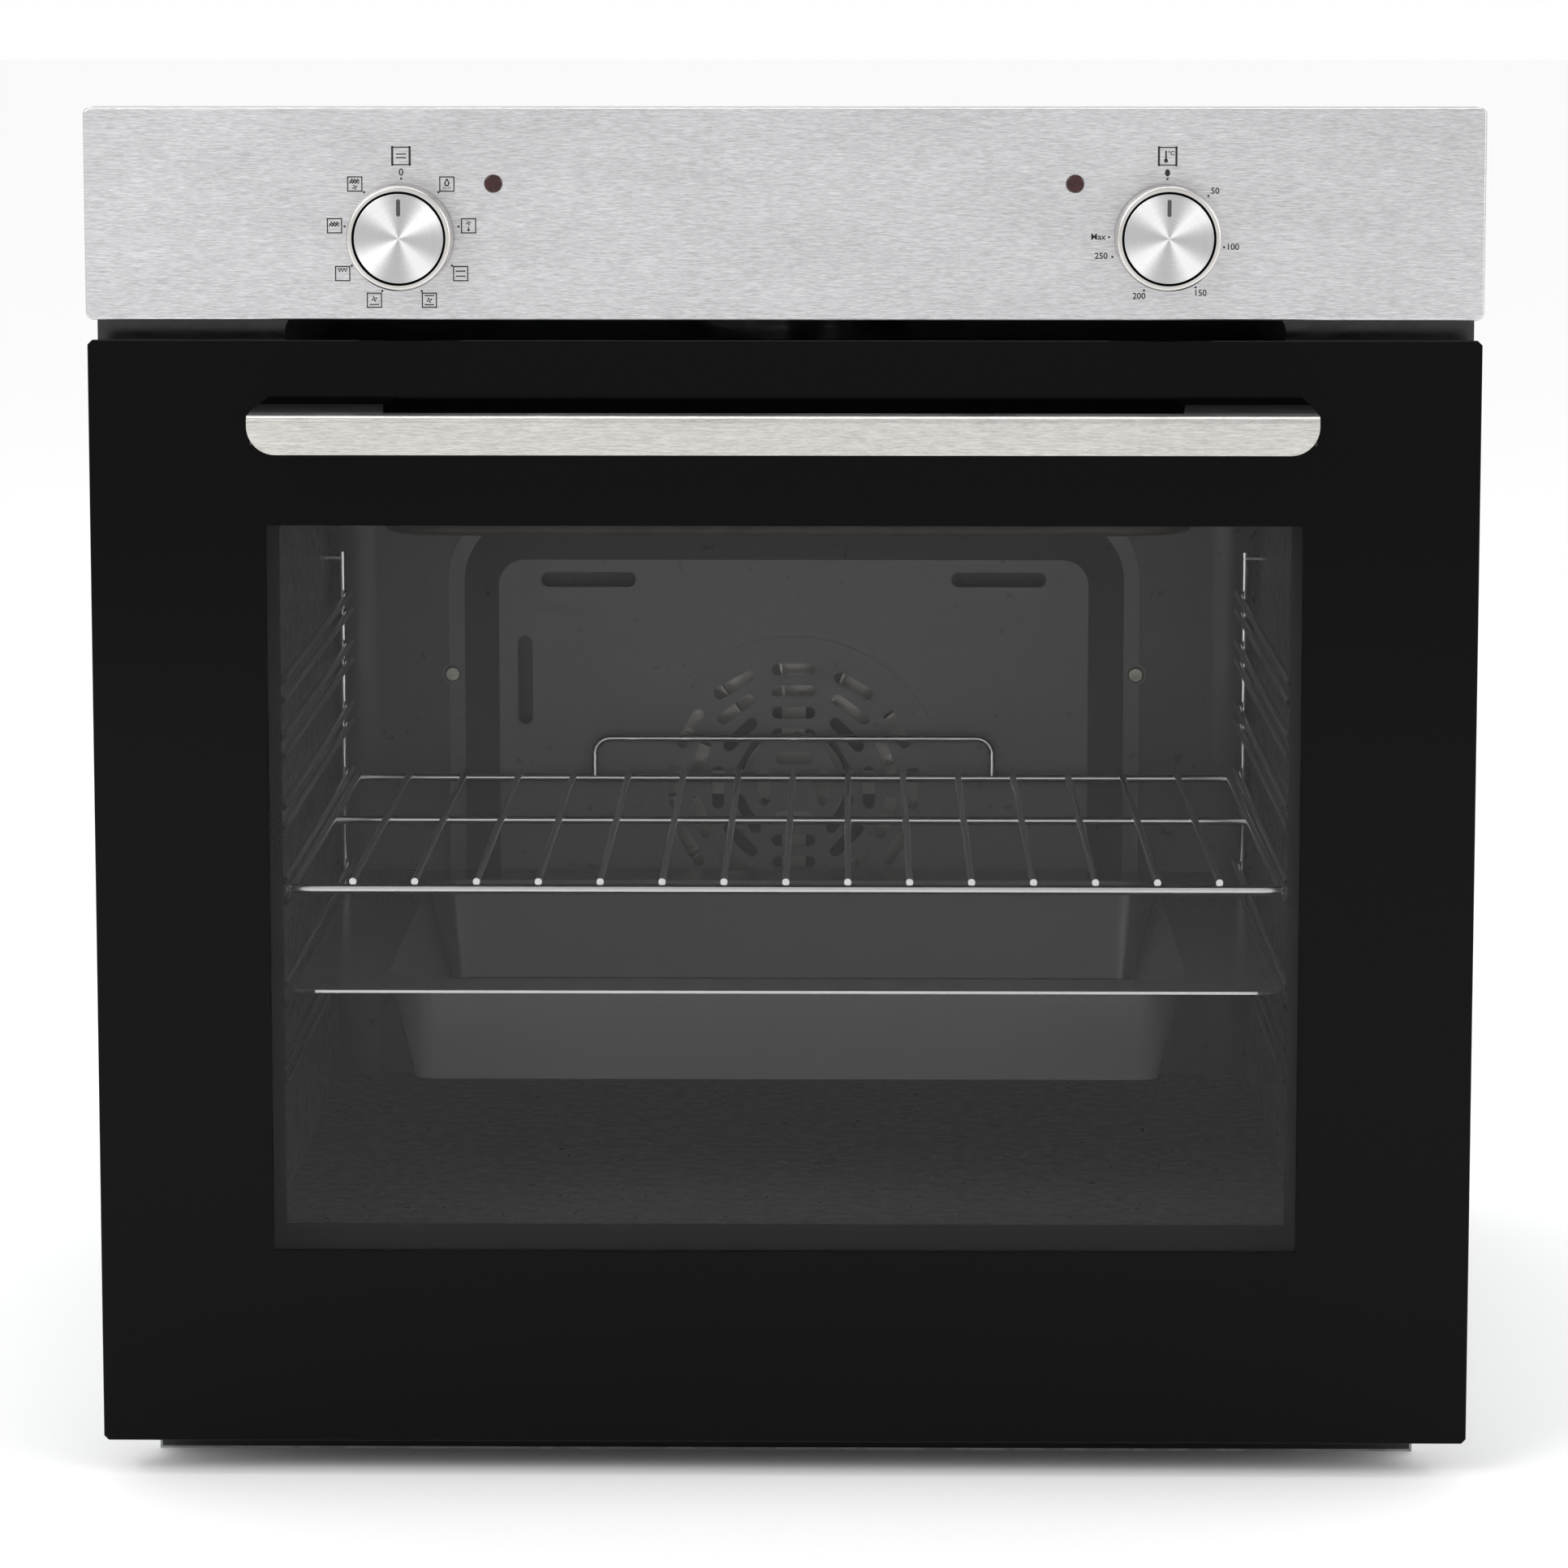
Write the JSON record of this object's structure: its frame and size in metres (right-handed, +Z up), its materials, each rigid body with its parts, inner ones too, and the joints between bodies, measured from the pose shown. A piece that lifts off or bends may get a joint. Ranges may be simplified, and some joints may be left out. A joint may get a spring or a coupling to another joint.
{
  "type": "built-in electric oven",
  "caption": "Built-in household electric fan oven: sheet-metal casing, enamelled cavity, drop-down glass door with bar handle, control fascia with rotary knobs, wire shelf and deep tray.",
  "frame": {"origin": "on the floor plane, at the middle of the outer box in X and Y", "axes": "+X to the user's right, +Y from the door to the back, +Z up"},
  "size_m": [0.595, 0.626, 0.595],
  "materials": {
    "galvanised_steel": "zinc-coated sheet, dull spangle",
    "frame_enamel": "glossy black enamel",
    "cavity_enamel": "dark grey vitreous enamel with fine specks",
    "mineral_wool": "matted rock wool",
    "seal_rubber": "matte silicone rubber",
    "stainless_steel": "brushed along X",
    "lamp_red": "deep red translucent plastic",
    "phenolic_brown": "moulded phenolic",
    "steel_pin": "bright zinc",
    "knob_metal": "satin turned metal",
    "spun_aluminium": "spun, with fine turning rings",
    "black_plastic": "fine moulded texture",
    "motor_steel": "oiled steel laminations",
    "fan_aluminium": "pressed sheet, slightly heat tinted",
    "element_steel": "oxidised heating tube",
    "lamp_glass": "clear borosilicate",
    "lamp_ceramic": "unglazed steatite",
    "chromed_wire": "bright chrome on wire",
    "tray_enamel": "dark vitreous enamel",
    "black_glass": "toughened glass with a black printed border",
    "clear_glass": "toughened heat-reflecting glass",
    "black_column": "black painted steel",
    "hinge_steel": "zinc plated, yellowish"
  },
  "bodies": {
    "casing": {"chassis_base": "galvanised_steel", "side_panel_left": "galvanised_steel", "side_panel_right": "galvanised_steel", "rear_cover": "galvanised_steel", "top_cover": "galvanised_steel", "front_frame": "frame_enamel", "cavity_shell": "cavity_enamel", "insulation": "mineral_wool", "door_seal": "seal_rubber", "control_fascia": "stainless_steel", "control_bracket": "galvanised_steel", "pilot_lamp_left": "lamp_red", "pilot_lamp_right": "lamp_red", "function_selector": "phenolic_brown", "thermostat": "phenolic_brown", "air_duct": "galvanised_steel", "blower_housing": "galvanised_steel", "blower_motor": "motor_steel", "fan_baffle": "cavity_enamel", "fan_motor": "motor_steel", "grill_element": "element_steel", "bottom_element": "element_steel", "lamp_lens": "lamp_glass", "lamp_holder": "lamp_ceramic", "thermostat_probe": "steel_pin", "terminal_block": "black_plastic", "runners_left": "chromed_wire", "runners_right": "chromed_wire", "hinge_arm_left": "hinge_steel", "hinge_arm_right": "hinge_steel", "hinge_receiver_left": "hinge_steel", "hinge_receiver_right": "hinge_steel", "casing_screws": "steel_pin", "baffle_screws": "steel_pin"},
    "door": {"outer_glass": "black_glass", "inner_glass": "clear_glass", "door_column_left": "black_column", "door_column_right": "black_column", "door_top_trim": "galvanised_steel", "door_bottom_trim": "galvanised_steel", "handle_bar": "stainless_steel", "handle_post_left": "black_plastic", "handle_post_right": "black_plastic", "handle_screws": "steel_pin", "glass_clips": "steel_pin", "hinge_cassette_left": "hinge_steel", "hinge_cassette_right": "hinge_steel", "hinge_pins": "steel_pin", "hinge_springs": "steel_pin"},
    "function_control": {"function_knob": "knob_metal", "function_knob_cap": "spun_aluminium", "function_shaft": "steel_pin"},
    "thermostat_control": {"thermostat_knob": "knob_metal", "thermostat_knob_cap": "spun_aluminium", "thermostat_shaft": "steel_pin"},
    "fan_rotor": {"circulation_fan": "fan_aluminium", "fan_shaft": "steel_pin"},
    "blower_rotor": {"blower_wheel": "black_plastic"},
    "shelf": {"wire_shelf": "chromed_wire"},
    "tray": {"baking_tray": "tray_enamel"}
  },
  "joints": [
    {"name": "door_hinge", "type": "hinge", "parent": "casing", "child": "door", "pos_m": [0, -0.241, 0.033], "axis": [1, 0, 0], "range_deg": [0, 90], "stiffness_Nm_per_rad": 8, "springref_deg": -17.19},
    {"name": "function_knob_turn", "type": "hinge", "parent": "casing", "child": "function_control", "pos_m": [-0.1625, -0.26, 0.5404], "axis": [0, 1, 0], "continuous": true},
    {"name": "thermostat_knob_turn", "type": "hinge", "parent": "casing", "child": "thermostat_control", "pos_m": [0.1625, -0.26, 0.5404], "axis": [0, 1, 0], "range_deg": [0, 270]},
    {"name": "circulation_fan_spin", "type": "hinge", "parent": "casing", "child": "fan_rotor", "pos_m": [0, 0.17, 0.2415], "axis": [0, 1, 0], "continuous": true},
    {"name": "blower_spin", "type": "hinge", "parent": "casing", "child": "blower_rotor", "pos_m": [0, 0.16, 0.5], "axis": [0, 0, 1], "continuous": true},
    {"name": "shelf_slide", "type": "slide", "parent": "casing", "child": "shelf", "axis": [0, -1, 0], "range_m": [0, 0.03]},
    {"name": "tray_slide", "type": "slide", "parent": "casing", "child": "tray", "axis": [0, -1, 0], "range_m": [0, 0.03]}
  ]
}
